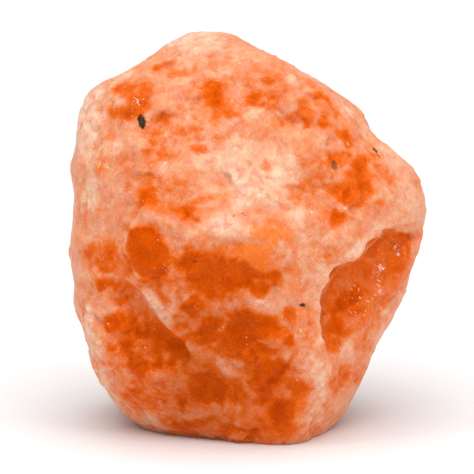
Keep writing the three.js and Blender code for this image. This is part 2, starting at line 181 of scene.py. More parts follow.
MILKY_ZONES = {
    "summit": (
        (-8, 33, 5.5, 2.4, 0.7), (-10, 29, 5, 2, 0.25), (-11, 32.8, 2.5, 0.9, 0.6, 25),
        (-3, 30.3, 2.2, 1.2, 0.35), (-3.7, 28, 1.8, 0.8, 0.5, -15), (2, 29.6, 0.9, 0.7, 0.45),
        (7.3, 26, 1.6, 1, 0.5, -30), (8.5, 23.3, 1, 0.8, 0.4), (0.9, 20.8, 2, 1.2, 0.5),
        (-1.5, 24, 1.5, 2.5, 0.15), (16.6, 21, 1.4, 1.4, 0.5),
    ),
    # Mostly along the left edge: the stone's milk, and in part a painted reflection where the edge turns
    # away.
    "left side": (
        (-26.5, 19, 3, 8, 0.65), (-26, 7, 2, 3, 0.5), (-22, 22.5, 1.6, 1.6, 0.45),
        (-20.5, 16.5, 4.5, 3, 0.2), (-25.5, 24.6, 1.7, 1.2, 0.6, 40), (-26.3, 19.5, 1.2, 3.5, 0.65),
        (-27.2, 22, 0.8, 2, 0.55), (-22.3, 14.8, 1.8, 1.2, 0.35), (-25.9, 7, 0.8, 2.6, 0.5),
        (-22, 8.2, 3.5, 1.4, 0.25), (-24.6, 1.5, 1, 1.6, 0.4), (-26.4, -13.5, 1, 2.4, 0.6),
        (-25.9, -10, 0.8, 1.2, 0.25), (-25.2, -18.6, 0.9, 2.4, 0.5, 10), (-23.9, -23.5, 1, 2.6, 0.75, 20),
        (-26.5, -17.5, 1.2, 4, 0.55, 5), (-22.3, -27.5, 1.2, 3, 0.6, 35), (-12.3, -3.5, 1.2, 3, 0.35),
        (-20.7, -22.5, 1.2, 0.9, 0.3),
    ),
    "upper face": (
        (-18.5, 15.3, 2, 1, 0.25), (-15, 16.3, 4, 2.2, 0.45), (-4, 17, 8, 3, 0.2), (-1.3, 17, 2.5, 2, 0.3),
        (-21, 27, 2.5, 1.8, 0.45, 20), (-11, 12, 3, 2, 0.25), (23.7, 17, 2, 1.5, 0.3),
        (19.5, 11.5, 2, 1.5, 0.2), (-14.5, 25.5, 1.8, 0.6, 0.25), (-10.7, 19.5, 1.5, 0.8, 0.3),
        (-11, 25.8, 2, 0.8, 0.35), (-14, 10.5, 1.5, 1, 0.3), (-9.4, 7.3, 1.3, 0.8, 0.4),
        (-16.2, 3.7, 1, 0.6, 0.5), (-15.3, 2.6, 2.5, 1.2, 0.35), (-16, 12, 3, 2, 0.15),
        (-12.5, 1, 0.8, 1.8, 0.28),
    ),
    "cream middle": (
        (0, 13.2, 8, 2.6, 0.6), (0, 9.5, 5, 2.5, 0.65), (5.2, 11, 4, 2.5, 0.6), (-5.6, 12, 3.2, 1.6, 0.5),
        (-6.2, 8, 1.5, 0.8, 0.55), (-4.4, 2.2, 3, 2.1, 0.45), (-1.4, 5.2, 1.8, 1.4, 0.6),
        (-1.9, 1, 2.4, 1.2, 0.3), (5.5, 5, 2.6, 1.2, 0.45, -20), (4, 7.3, 3, 1.6, 0.35),
        (-1.5, 6.8, 2.5, 1.8, 0.3), (7.7, 3, 1.8, 2, 0.5, 20), (9.2, -1, 1.4, 2.6, 0.4, 10),
        (7.2, -3, 1.6, 1.2, 0.3), (10.6, -4.6, 2.6, 3, 0.36), (10.5, -8.5, 2.4, 3, 0.3),
        (15, -0.5, 3, 2, 0.3, 20), (12.3, 15.5, 1.8, 1.2, 0.4), (13.4, 10.5, 1.6, 0.7, 0.3, -40),
    ),
    "right side": (
        (19.6, 18, 1.1, 3, 0.45, 30), (23.8, 13.8, 3, 2, 0.35, -30), (19.5, 7, 2.5, 1.6, 0.3),
        (26, 8.5, 2.2, 4, 0.28, 15), (28.3, 4.6, 1.2, 4, 0.35), (25.5, 4, 2, 2, 0.3),
        (14.9, 4.8, 1.4, 0.6, 0.45, 20), (23.2, 6.8, 1.5, 0.9, 0.3),
    ),
    # The pale lip of the right hollow: the stone's milk, and in part a painted highlight on the lit lip.
    "hollow's rim": (
        (17.9, -2.5, 1.6, 0.8, 0.9, 20), (19.1, -1, 1.4, 0.8, 0.75, 35), (21, 0.9, 1.9, 0.8, 0.55, 40),
        (22.6, 2.6, 1.6, 0.8, 0.45, 20), (15.2, -5.1, 1.5, 0.8, 0.55), (12.4, -6.5, 1, 2.2, 0.4),
    ),
    # Along the far right edge: the stone's milk, and in part a painted reflection where the edge turns away.
    "hollow's far side": (
        (28.9, -0.5, 1.3, 3.5, 0.12), (27.6, -5.5, 1.2, 3, 0.15, -15), (25.6, -10, 1.1, 3, 0.15, -25),
        (22.6, -15, 1, 3, 0.15, -25), (26.5, 2, 2.8, 0.9, 0.2),
    ),
    "in the hollow": (
        (16, -6.8, 1.8, 1, 0.45), (17.9, -12.9, 0.9, 0.8, 0.5), (18.2, -14.6, 1.8, 1.1, 0.35),
        (22.5, -5.2, 0.8, 0.6, 0.5), (22.3, -8.4, 0.6, 0.8, 0.45), (25.4, -7.2, 1.5, 1, 0.3),
        (23, -13, 0.9, 0.9, 0.35), (16.5, -17.8, 1.6, 2.2, 0.4, -15),
    ),
    "wedge": (
        (-16.4, -10, 2, 1.3, 0.6, -30), (-15.2, -11.6, 1.8, 1.4, 0.6, -40), (-14, -13.4, 1.3, 1, 0.6, -50),
        (-12.5, -9, 3, 2.5, 0.2), (-12.5, -11.5, 1.6, 1.5, 0.45), (-11, -10, 1.5, 0.7, 0.35),
        (-18.5, -6.6, 1.6, 0.6, 0.3, -35),
    ),
    "lower face": (
        (0.7, -7.6, 0.8, 1.2, 0.3), (2.4, -11.2, 1.9, 0.8, 0.5), (4.6, -11.8, 1.3, 0.9, 0.4),
        (-4.8, -10.6, 1, 0.7, 0.4), (-7.2, -10, 0.8, 0.6, 0.35), (-3.2, -14.5, 1.2, 1.5, 0.35),
        (-7.2, -13, 1, 0.7, 0.4), (-3, -21.6, 2.4, 1.7, 1), (-6, -20, 2.3, 1.2, 0.4, -10),
        (-0.7, -25, 0.9, 1.2, 0.35), (4.8, -23.2, 0.6, 0.8, 0.4), (1.3, -27, 1.1, 1.2, 0.3),
        (6.3, -19.3, 1.2, 1, 0.4), (8.6, -19.7, 0.8, 0.6, 0.6), (-14.5, -23.6, 0.8, 1.3, 0.35),
        (-10.5, -23.7, 0.9, 0.9, 0.45), (-10, -18.5, 1.2, 0.8, 0.4), (-15.6, -30.5, 2.5, 0.7, 0.35, -10),
        (-2.5, -31, 2.2, 0.5, 0.4, -20), (-1.5, -23.5, 3.5, 2.5, 0.4), (-7, -18, 3, 2, 0.45, -20),
        (-16, -18.5, 2.5, 1.8, 0.4), (-11.3, -15.5, 2.4, 3, 0.5), (13.7, -13, 1.6, 2.2, 0.5),
        (13, -8.5, 1.5, 3, 0.35), (-16.5, -14, 3.5, 1.5, 0.3, -30), (-6.3, -21.5, 2, 3, 0.25),
        (2.6, -30.8, 1.1, 0.6, 0.25),
    ),
    "lower ridge": (
        (11.2, -12.5, 0.9, 4.2, 0.3), (12.3, -16.5, 0.6, 1.5, 0.5), (9.8, -21, 2.3, 1.3, 0.5),
        (12.2, -22.5, 2.2, 2.2, 0.5), (12, -26, 1.4, 2.4, 0.55), (11.5, -29.5, 1.3, 1.8, 0.4),
        (14.5, -28.2, 1.5, 1.3, 0.35), (20.6, -16.5, 0.8, 0.8, 0.3),
    ),
}
# Zones where the orange is bright and yellowish.
BRIGHT_ZONES = {
    "middle": (
        (1.5, 1.2, 1.3, 1.1, 0.7), (2.8, 0.4, 1.4, 1.2, 0.7), (5.1, 0.3, 2.2, 1.4, 0.85),
        (3.8, -1.3, 1.3, 0.9, 0.85), (0.4, -1.2, 1.6, 1, 0.6), (-4.3, -1.5, 1.6, 0.7, 0.5),
        (-1, -2.5, 2.6, 1, 0.6), (1.2, -3, 3.2, 1.6, 0.8), (3.2, -4.6, 2.6, 1.2, 0.6),
        (7.8, -8, 2.6, 2.2, 0.4), (8.5, -12.8, 1.6, 2.2, 0.5), (9, -28.3, 1.6, 1.8, 0.6),
        # Of these, (24.5, -1.8) and (20.5, -5.5) brighten the right hollow, which lies in shade: painted
        # light.
        (9.5, -2.5, 3.5, 3, 0.25), (11, -6.5, 2, 3, 0.15), (24.5, -1.8, 2.7, 2.7, 0.7),
        (20.5, -5.5, 3.5, 4.5, 0.35, -20), (-4, -6.5, 4.5, 2, 0.15), (14, -2.5, 2, 2, 0.2),
        (7, -31, 2.5, 2, 0.3), (12, -19, 3, 6, 0.15), (-25, 21, 1.6, 1.6, 0.3), (-24.8, 13, 1.4, 2.4, 0.4),
        (-3, 17.5, 3, 1.2, 0.3), (2, 17.6, 3, 1, 0.3),
    ),
}

# Patches with a clear edge: clear deep orange ones and creamy ones.
ORANGE_PATCHES = (
    (-16.8, -2.3, 3, 4, 0.6, 5), (-15.9, -5.2, 2.2, 1.6, 0.4, -20), (-5.8, -6.2, 4.6, 3, 0.28, -6),
    (-0.9, -6.4, 2, 2.6, 0.18), (3.4, -6.4, 2.4, 1.2, 0.22, -8), (2, -8.4, 1.7, 1, 0.2),
    (-13, -17.2, 2.4, 1.6, 0.25, -35), (-18.2, -21.4, 1.6, 1.4, 0.35), (-6.3, -15.4, 1.9, 1.6, 0.3, 25),
    (0.8, -14.8, 3.9, 2.2, 0.3, -5), (-7, -25.2, 2.8, 2.2, 0.3, 10), (3.4, -23.2, 2, 2.6, 0.3, -10),
    (5.7, -29.6, 2.4, 2, 0.15), (-16.6, 6.7, 1.4, 1.2, 0.15, 20), (25.9, -1.3, 1.8, 2.2, 0.6),
    (23.6, -1.2, 1.8, 1.8, 0.35), (17.3, -10.4, 2.4, 1.6, 0.25, 30),
)
CREAM_PATCHES = (
    (-3.8, 2.2, 4.1, 2.9, 0.16), (-1.6, 0.8, 2.4, 1.2, 0.05), (-15.4, -11.3, 2.9, 1.1, 0.1, -52),
    (18, -2.4, 1.4, 0.9, 0.25, 20), (-3.1, -21.6, 1.8, 1.3, 0.15),
)

# Zones of painted shade, and where tiny platelets in it glint, with a painted pale glint colour.
PAINTED_SHADE_ZONES = {
    "lower face": (
        (-8.5, -23.5, 8, 9, 0.9), (-3, -12.5, 9, 3.5, 0.45), (-15, -13.5, 5, 4, 0.4),
        (-16.5, -18, 3.5, 3, 0.5), (4, -23, 5.5, 8, 0.5), (-4, -31, 10, 3, 0.4), (-1.5, -27.5, 3, 3, 0.35),
    ),
    "upper face": (
        (4, 24.5, 7, 4, 0.4, -20), (-17, 12, 4, 5, 0.35), (14.5, 9.5, 5, 4.5, 0.35), (10, 9.5, 4, 5, 0.3),
        (-10.5, 7.5, 4, 4, 0.3),
    ),
}
# Where the stone glints: more metallic platelets, which catch the lamps, and a pale glint colour, a painted
# highlight.
SPARKLE_AND_PAINTED_GLINT_ZONES = {
    "left": (
        (-18.5, 22.5, 1.2, 1.8, 0.45), (-24.3, 11.8, 0.8, 1.5, 0.7), (-15.5, -1.3, 1.4, 1.3, 0.25),
        (-6.3, -5.8, 2, 1.2, 0.15), (-20, 19.3, 1.4, 0.8, 0.5), (-15, 12, 2, 1, 0.5),
    ),
    "right": (
        (22.3, -5.4, 1.4, 1.2, 1), (22.3, -8.3, 0.9, 1.1, 0.9), (25.3, -2.2, 1, 1.2, 1),
        (15.5, 4.8, 1.6, 0.6, 0.8, -10), (10, 4.2, 1.4, 0.8, 0.7, 20), (8.7, -16.3, 0.9, 0.9, 0.8),
        (19.5, -9.5, 3, 3.5, 0.3, -20),
    ),
}

# Which of the solid's edges stay crisp, and how crisp.
SHARP_EDGE = math.radians(38)
EDGE_CREASE = 0.9

# The skin's soft lumps and its grain, and its broken planes, facets and chips: how far one may stand out, in
# shares of its size, and how far noise bends its edges.
LUMP_SIZE = 8 * MM
GRAIN_SIZE = 1.5 * MM
PLANE_LEAN = 0.6  # share of the facets' tilt
CHIP_SHARE = 0.45  # share of the facets' size
PLANE_STEP = 0.1
FACET_STEP = 0.16
CHIP_STEP = 0.2
FACET_WARP = 0.22

# Where the stone is worn, by noise in long waves, how much relief is left there, and how much of it is left
# off along the outline.
WORN_WAVE = 9 * MM
WORN_STEP = (-0.45, 0.25)
WORN_RELIEF = 0.35
OUTLINE_CALM = 0.6

# The foot: up to what height it is made flat, from what height it keeps its form, and what faces down there.
FLAT_FOOT = 0.25 * MM
BENT_FOOT = 0.9 * MM
DOWNWARD = -0.6

# A step's lip: half its edge's width in mm, how far it stands up, in shares of the drop, and how wide that
# is in mm, what share of the run-out is level, and between what shares of the line the step has its full
# height.
LIP_EDGE = 0.3
LIP_RISE = 0.15
LIP_WIDTH = 2
LEVEL_SHARE = 0.2
STEP_ENDS = (0.12, 0.85)

# How far toward the camera the skin has to face, from -1 to 1, for the front's steps and for its zones, and
# how far it may face there and still be the outline.
STEP_FACING = (-0.1, 0.25)
ZONE_FACING = (-0.15, 0.2)
OUTLINE_FACING = (0.1, 0.45)

# How deep a zone reaches into the stone, in shares of its size and in mm beyond that.
ZONE_DEPTH = 2.5
STREWN_DEPTH = 2
DEPTH_MARGIN = 2

# Zones strewn over the sides and the back: how many clusters, and their zones' half sizes in mm and
# strengths.
STREWN_ZONES = {
    "washes": (10, (5, 10), (0.2, 0.5)),
    "orange": (70, (0.7, 2.8), (0.3, 0.85)),
    "milky": (46, (0.8, 3), (0.25, 0.65)),
    "bright": (12, (1.2, 3), (0.3, 0.7)),
    "sparkle_and_painted_glint": (8, (0.8, 2), (0.3, 0.8)),
}
ZONES_IN_CLUSTER = (2, 8)
CLUSTER_SPREAD = (2.4, 1.3)  # in mm, along and across
STREWN_LENGTH = (0.9, 2)  # in half sizes
STREWN_WIDTH = (0.5, 1)

# Where a zone's soft edge starts and ends, in shares of the zone's size.
ZONE_EDGE = (0.55, 1.42)
PATCH_EDGE = (0.65, 1.3)
PAINTED_SHADE_EDGE = (0.1, 1.5)
SWELL_EDGE = (0.1, 1.42)
STREWN_EDGE = (0.2, 1.7)

# Noise that makes lines and edges ragged: how far it moves them and how long its waves are, in mm, and a
# shift.
SWELL_DRIFTS = ((0.8, 4, (5, 2, 9)),)
CLIFF_DRIFTS = ((0.4, 4, (5, 2, 9)), (0.5, 1.4, (8, 3, 1)))
ZONE_DRIFTS = ((0.55, 2.6, (0, 7, 3)), (0.3, 1, (4, 1, 8)))
STREWN_DRIFTS = ((0.7, 2.6, (0, 7, 3)), (0.35, 1, (4, 1, 8)))
PATCH_DRIFTS = ((0.25, 0.9, (2, 5, 1)),)

# Bands along the lip of the right hollow, by how far past the lip they lie, in mm: where a band starts, where
# it is full, where it starts to fade and where it has gone.
FLOOR_BAND = (-0.2, 0.1, 7, 11)
RIM_BAND = (-1.6, -0.6, -0.2, 0.1)
WALL_BAND = (-0.1, 0.2, 0.6, 1.4)

# The least painted shade, milk and orange in these bands, and what share of the orange or milk they take
# away. The wall has a painted shadow under the lip; the rim a pale band, partly milk, partly painted
# highlight.
WALL_SHADOW = 0.5
RIM_MILK_AND_HIGHLIGHT = 0.45
RIM_ORANGE_LOSS = 0.8
FLOOR_ORANGE = 0.52
FLOOR_MILK_LOSS = 0.6

# Pale margins by the wedge and on the hollow's far side, whose pale is partly painted reflection, and clear
# patches: how much stronger a far margin counts, and what share they take away.
FAR_MARGIN_GAIN = 4
MARGIN_ORANGE_LOSS = 0.75
PATCH_MILK_LOSS = 1.5

# How far painted shade pulls the orange and the milk, and toward what.
SHADE_ORANGE_PULL = (0.3, 0.55)
SHADE_MILK_PULL = (0.45, 0.15)
STREWN_SHADE = 0.5
# Painted shade on the sides and back comes in below these heights, darker towards the bottom.
SHADE_FOOT = (30, 5)  # heights on the sides and back between which it comes in, in mm

# Painted shade in hollows, which turn more orange, and painted highlight on crests, which turn milkier: how
# much, what painted shade adds, and at what height in mm.
RELIEF_SHADE_TINT = 0.1
PAINTED_SHADE_RELIEF_TINT = 0.14
RELIEF_STEP = (0.02, 0.16)

# How far painted shade, the hollow's floor and clear patches calm the noise in the stone's colours.
SHADE_CALM = 0.45
FLOOR_CALM = 0.5
PATCH_CALM = 1.1

# How clear the stone is between its zones, from 0, milky, to 1, and how far a zone changes that.
STONE_CLEARNESS = 0.36
ORANGE_GAIN = 0.54
MILK_GAIN = 0.29

# The colours that the stone's clearness picks, and the clearness at which each is pure.
BODY_STOPS = {
    "milk": 0, "cream": 0.18, "salmon": 0.36, "apricot": 0.54, "orange": 0.72, "deep_orange": 0.88,
    "burnt_orange": 1,
}

# Noises in the stone: wave in mm, detail, roughness, distortion, and a shift to tell like ones apart.
NOISES = {
    "clouds": (3, 4, 0.55, 0.3),
    "wisps": (1.3, 4, 0.53, 0.35),
    "mottle": (0.4, 2, 0.5),
    "veils": (1.8, 4, 0.53, 0.4, (31, 17, 5)),
    "shade": (1.7, 5, 0.6, 0.5, (3, 40, 11)),
    "sugar": (2.2, 2, 0.55, 0, (50, 3, 14)),
    "fine": (0.28, 3, 0.6),
}
STREAK_NOISE = (1, 4, 0.53, 0.2)
LINE_NOISE = (1.3, 3, 0.6, 0.3, (9, 4, 2))
HAIR_NOISE = (0.4, 3, 0.6, 0.6)
WEAVE_NOISE = (5, 2)
JITTER_NOISE = (0.5, 3, 0.6)
LONE_GLINT_NOISE = (4, 3, 0.6, 0, (70, 8, 21))
CLUMP_NOISE = (1.1, 2, 0.55, 0, (12, 60, 33))

# How strongly each noise stirs the orange, the milk, the stone's clearness, its gold and its brightness.
ORANGE_STIR = {"wisps": 0.62, "mottle": 0.1}
MILK_STIR = {"veils": 0.85, "mottle": 0.1}
CLEARNESS_STIR = {"clouds": 0.62, "wisps": 0.28, "mottle": 0.05, "fibres": 0.17}
CALM_CLEARNESS_STIR = 0.25  # what is left of it in a calm patch
GOLD_STIR = {"wisps": 1.3, "fibres": 1.2}
VALUE_STIR = {"fine": 0.5, "hairs": 0.28}
RELIEF_GAINS = {"wisps": 0.4, "fine": 0.35, "fibres": 0.7, "pale": 0.15}

# Ramps between two values of a number, and what they give at them if that isn't 0 and 1.
RAMPS = {
    "orange": (0, 1),
    "milk": (0.05, 0.95),
    "flush": (0.48, 0.7, 0, 0.7),
    "flush in milky stone": (0.35, 0.75, 1, 0),
    "gold": (0.08, 1.1, 0, 0.95),
    "lines": (0, 0.03, 1, 0),
    "shown lines": (0.42, 0.6),
    "sugar": (0.42, 0.62, 0.4, 1.5),
    "specks": (0.12, 0.3, 1, 0),
    "soot": (0.35, 0.65),
    "roughness": (0.3, 0.7, 0.34, 0.55),
    "weave": (0.44, 0.56),
    "lone glints": (0.5, 0.7, 0, 0.02),
    "clumps": (0.47, 0.6),
    "chosen": (1, 1.01),
    "glint tint": (0, 0.5),
}

# How golden the bright zones are, how far pale marks lighten and painted shade darkens, and how far apart
# the finest pale specks, partly painted glints, stand, in mm.
GOLD_GAIN = 0.95
PALE_GAIN = 0.24
SHADE_DARKENING = 0.26
SPECK_SPACING = 0.55

# A dark grain: where its edge is, in shares of its size, how deep it reaches and how far noise bends it, in
# mm, and its darkest colour.
GRAIN_EDGE = (0.75, 1.15)
GRAIN_DEPTH = 2.5
GRAIN_JITTER = 1.1
SOOT = (0.025, 0.014, 0.009)

# Fine streaks in the stone: how they are turned, and their size in mm.
FIBRE_TURNS = ((0, math.radians(50), 0), (0, math.radians(-40), math.radians(20)))
FIBRE_SIZE = (2.2, 0.9, 0.32)

# Rounds of smoothing that tell hollows from crests, and how far a round stone's skin lies above that, in mm.
HOLLOW_ROUNDS = 14
CURVE_OFFSET = 0.03

# How far a pit or a spike may reach from the smoothed skin, in mm.
PIT_DEPTH = 0.36

# Tiny metallic platelets in the stone: their size in mm, how far they lean, how many more there are where the
# stone glints, how metallic and rough they are, and what draws a lot for each.
PLATELET_SIZE = (0.34, 0.17, 0.15)
PLATELET_LEAN = 0.8
PLATELET_GAIN = 0.28
PLATELET_METAL = 0.35
PLATELET_ROUGHNESS = 0.2
LOT_GAINS = (7.3, 13.1, 5.7)

# Dark mineral grains set in the skin: (right, up, half width, half height, turn in degrees, darkness).
DARK_GRAINS = {
    "tall grain": (-17.7, 19.2, 0.68, 1.35, 18, 1),
    "grey grain": (14.35, 11.95, 0.5, 0.85, 15, 0.6),
    "slant grain": (21.15, 14.4, 0.28, 0.62, 32, 0.95),
    "slant grain's tail": (21.75, 13.6, 0.12, 0.55, 42, 0.7),
    "low grain": (9.05, -11.35, 0.5, 0.38, -20, 1),
    "flat grain": (-8.8, -4.05, 0.42, 0.17, 10, 0.8),
    "dot": (-2.3, 3.5, 0.17, 0.17, 0, 0.55),
    "hair": (-0.6, 3.7, 0.5, 0.11, -40, 0.5),
}

# Dents and swells that light picks out on the front: (right, up, half width, half height, height in mm), and
# a turn.
SWELLS = {
    "valley by the right shoulder": (20.3, 16.3, 1.3, 5, -0.7, 35),
    "shoulder beyond it": (22.8, 13.2, 2.2, 1.6, 0.35, -30),
    "summit crown": (-6.5, 32, 5, 1.8, 0.3),
    "groove under the summit": (-9.5, 27.4, 5, 0.9, -0.25, 12),
    "upper dip": (-5.2, 23.4, 2.4, 2.6, -0.35),
    "cream swell": (-3.5, 3, 4.5, 3, 0.35),
    "left crease": (-26.6, 5.6, 0.7, 4.5, -0.25),
    "left bump": (-28.5, 11.8, 1.8, 1.8, 0.2),
    "ridge dip": (-16.5, -2.5, 3.5, 3.5, -0.45),
    "long dip": (-4.5, -7, 5.5, 2.6, -0.5),
    "wedge": (-14.9, -11.6, 2.4, 1, 0.45, -52),
    "lower crest": (11.3, -21, 2, 7, 0.45),
    "lower dip": (-6, -25, 3, 2.6, -0.3),
    "pale knob": (-3.2, -21.8, 2.4, 1.5, 0.3),
    "foot dip": (5.5, -28.5, 2.4, 2.2, -0.25),
}

# Steps where a piece has broken away: the lip's line from the camera, with the low ground on its left hand,
# how far the ground drops in mm and how far from the lip it has risen again.
CLIFFS = {
    "right hollow's rim": (
        (
            (25.4, 2.9), (24.1, 2), (22.7, 0.9), (21.4, -0.3), (20.3, -0.9), (19.8, -2.2), (18.9, -3.3),
            (17.5, -3.9), (15.8, -4.5), (14.6, -5.5), (13.9, -6.2), (13.7, -7.4), (12.7, -8.7),
            (12.3, -10.8), (12, -13.8), (12.4, -17), (13.2, -20),
        ),
        1.2, 7,
    ),
    "lower left ledge": (
        (
            (-9, -21.5), (-9.7, -19.8), (-10.8, -18), (-12.6, -16.4), (-14.5, -14.5), (-16.2, -11.8),
            (-18, -9.1), (-20, -7.2), (-22.5, -6),
        ),
        0.9, 6,
    ),
    "shoulder's split": (
        (
            (19, 20.5), (19.8, 18.4), (21, 16.2), (22.3, 14), (23.4, 12.6), (24.8, 11.6),
        ),
        0.45, 2.6,
    ),
    "cream patch's foot": (
        (
            (3.2, -0.6), (1.6, -0.2), (0.3, -0.5), (-1.6, -0.8), (-3.6, -0.7), (-5.4, -1.2), (-6.6, -0.6),
        ),
        0.35, 2,
    ),
    "left crease": (((-26.9, 1), (-26.6, 3.5), (-26.4, 6), (-26.8, 8.5), (-27.2, 10.5)), 0.3, 2.2),
}


def length_property(name, description, default):
    return FloatProperty(name=name, description=description, default=default, unit="LENGTH", precision=5)


def colour_property(name, description, default):
    return FloatVectorProperty(
        name=name, description=description, default=default, subtype="COLOR", size=3, min=0, max=1,
    )


class StoneShape(bpy.types.PropertyGroup):
    """Sizes of the stone's surface."""

    voxel: length_property("Voxel", "Spacing of the points of the skin", 0.36 * MM)
    lump_height: length_property("Lump height", "How far soft lumps swell the skin", 0.7 * MM)
    plane_size: length_property("Plane size", "Width of the broad broken planes", 8 * MM)
    facet_size: length_property("Facet size", "Width of the broken facets", 3.2 * MM)
    facet_tilt: FloatProperty(
        name="Facet tilt", description="How steeply the broken facets lean", default=math.radians(7),
        subtype="ANGLE",
    )
    grain_height: length_property("Grain height", "How far the grain stands out", 0.15 * MM)
    seed: IntProperty(
        name="Seed", description="Picks the facets, and the zones on the sides and back", default=7, min=1,
    )
    kept_share: FloatProperty(
        name="Kept share", description="Share of the finished skin's triangles that are kept",
        default=0.82, min=0.1, max=1,
    )


class StoneColours(bpy.types.PropertyGroup):
    """Colours of the feldspar, from its milkiest to its clearest, and of what is in it."""

    milk: colour_property("Milk", "Where the stone is milkiest", (0.86, 0.58, 0.43))
    cream: colour_property("Cream", "Where the stone is milky", (0.81, 0.435, 0.27))
    salmon: colour_property("Salmon", "The stone between its zones", (0.78, 0.305, 0.155))
    apricot: colour_property("Apricot", "Where the milk thins out", (0.765, 0.2, 0.058))
    orange: colour_property("Orange", "Where the stone is clear", (0.75, 0.126, 0.006))
    deep_orange: colour_property("Deep orange", "Where the stone is clearest", (0.655, 0.087, 0.001))
    burnt_orange: colour_property("Burnt orange", "Where the clear stone is thickest", (0.53, 0.06, 0.001))
    amber: colour_property("Amber", "Yellowish orange", (0.86, 0.21, 0.028))
    blush: colour_property("Blush", "Pink wisps", (0.76, 0.26, 0.185))
    platelet: colour_property("Platelet", "Tiny metallic platelets", (0.94, 0.56, 0.3))
    # A painted highlight: the pale colour of platelets where the stone glints most.
    glint: colour_property("Glint", "Platelets where many of them glint", (1, 0.86, 0.72))
    grain: colour_property("Dark grain", "Dark mineral grains", (0.11, 0.055, 0.03))


class StageSettings(bpy.types.PropertyGroup):
    """The floor and the lights."""

    floor_colour: colour_property("Floor", "Colour of the floor", (0.845, 0.845, 0.845))
    key_strength: FloatProperty(
        name="Key", description="Strength of the broad light overhead", default=2.72, min=0,
    )
    key_rise: FloatProperty(
        name="Key height", description="How high the broad light stands", default=math.radians(76),
        subtype="ANGLE",
    )
    key_spread: FloatProperty(
        name="Key spread", description="How wide the broad light looks", default=math.radians(62),
        subtype="ANGLE",
    )
    sparkle_power: FloatProperty(
        name="Sparkle", description="Power of each small light that glints", default=0.5, unit="POWER",
    )
    sky_strength: FloatProperty(name="Sky", description="Strength of the light all round", default=0.4, min=0)


def box_middle():
    low, high = CAD_BOX
    return (Vector(low) + Vector(high)) / 2


def view_axes():
    """The camera's right, up and backward directions."""
    right = Vector((1, 0, 0))
    up = Vector((0, math.sin(VIEW_RISE), math.cos(VIEW_RISE)))
    return right, up, right.cross(up)


def camera_place():
    right, up, back = view_axes()
    return box_middle() + right * VIEW_AIM[0] + up * VIEW_AIM[1] + back * VIEW_DISTANCE


def seen_places(points):
    """Where points appear on the front, right and up from the section's middle, and how near, in mm."""
    axes = np.array(view_axes())
    offset = (points - np.array(camera_place())) @ axes.T
    nearer = offset[:, 2] + VIEW_DISTANCE
    scale = VIEW_DISTANCE / (VIEW_DISTANCE - nearer)
    across = offset[:, 0] * scale + VIEW_AIM[0] - SECTION_MIDDLE[0]
    height = offset[:, 1] * scale + VIEW_AIM[1] - SECTION_MIDDLE[1]
    return np.stack([across, height, nearer], axis=1) / MM


def surface_depth(tree, right_mm, up_mm):
    """How near the front's surface is at a place on it, in millimetres, or 0 beside the stone."""
    right, up, back = view_axes()
    on_section = box_middle() + right * (right_mm * MM + SECTION_MIDDLE[0])
    on_section = on_section + up * (up_mm * MM + SECTION_MIDDLE[1])
    start = camera_place()
    hit = tree.ray_cast(start, (on_section - start).normalized())[0]
    return (hit - box_middle()).dot(back) / MM if hit else 0.0


def vertex_data(mesh):
    """The mesh's points and normals as arrays."""
    points = np.empty(3 * len(mesh.vertices), dtype=np.float64)
    normals = np.empty(3 * len(mesh.vertices), dtype=np.float64)
    mesh.vertices.foreach_get("co", points)
    mesh.vertex_normals.foreach_get("vector", normals)
    return points.reshape(-1, 3), normals.reshape(-1, 3)


def search_tree(mesh):
    """The mesh's faces, ready for finding where a ray hits them."""
    points, _ = vertex_data(mesh)
    return BVHTree.FromPolygons(points.tolist(), [face.vertices[:] for face in mesh.polygons])


def drift(points, wave, shift):
    """A noise vector at each point, from -1 to 1, with waves this long."""
    offset = Vector(shift)
    return np.array([noise.noise_vector(Vector(p) / wave + offset) for p in points])


def ragged(places, points, drifts):
    """Places on the front, each moved by the noise at its point."""
    moved = places.copy()
    for reach, wave, shift in drifts:
        moved[:, :2] += reach * drift(points / MM, wave, shift)[:, :2]
    return moved


def smooth_step(values, low, high):
    t = np.clip((values - low) / (high - low), 0, 1)
    return t * t * (3 - 2 * t)


def zone_cover(places, tree, zones, edge=ZONE_EDGE):
    """How far each place is inside one of the zones, from 0 to 1, with a soft edge."""
    clear = np.ones(len(places))
    for right, up, half_width, half_height, strength, *turn in zones:  # most zones have no turn
        angle = math.radians(sum(turn))
        dx = places[:, 0] - right
        dy = places[:, 1] - up
        dz = places[:, 2] - surface_depth(tree, right, up)
        along = (dx * math.cos(angle) + dy * math.sin(angle)) / half_width
        over = (dy * math.cos(angle) - dx * math.sin(angle)) / half_height
        deep = dz / (ZONE_DEPTH * max(half_width, half_height) + DEPTH_MARGIN)
        reach = np.sqrt(along**2 + over**2 + deep**2)
        clear *= 1 - strength * (1 - smooth_step(reach, *edge))
    return 1 - clear


def scattered_cover(points, normals, clusters, size, strength, rng):
    """The same for clusters of zones scattered at random over the whole skin, each lying flat along it."""
    clear = np.ones(len(points))
    for k in rng.choice(len(points), clusters):
        up = normals[k]
        across = np.cross(up, rng.normal(size=3))
        across /= np.linalg.norm(across)
        over = np.cross(up, across)
        for _ in range(rng.integers(*ZONES_IN_CLUSTER)):
            half = size[0] * (size[1] / size[0]) ** rng.uniform() * MM
            spread = across * rng.normal(0, CLUSTER_SPREAD[0]) + over * rng.normal(0, CLUSTER_SPREAD[1])
            offset = points - (points[k] + spread * MM)
            reach = np.sqrt(
                (offset @ across / (half * rng.uniform(*STREWN_LENGTH)))**2
                + (offset @ over / (half * rng.uniform(*STREWN_WIDTH)))**2
                + (offset @ up / (STREWN_DEPTH * half + DEPTH_MARGIN * MM))**2
            )
            clear *= 1 - rng.uniform(*strength) * (1 - smooth_step(reach, *STREWN_EDGE))
    return 1 - clear


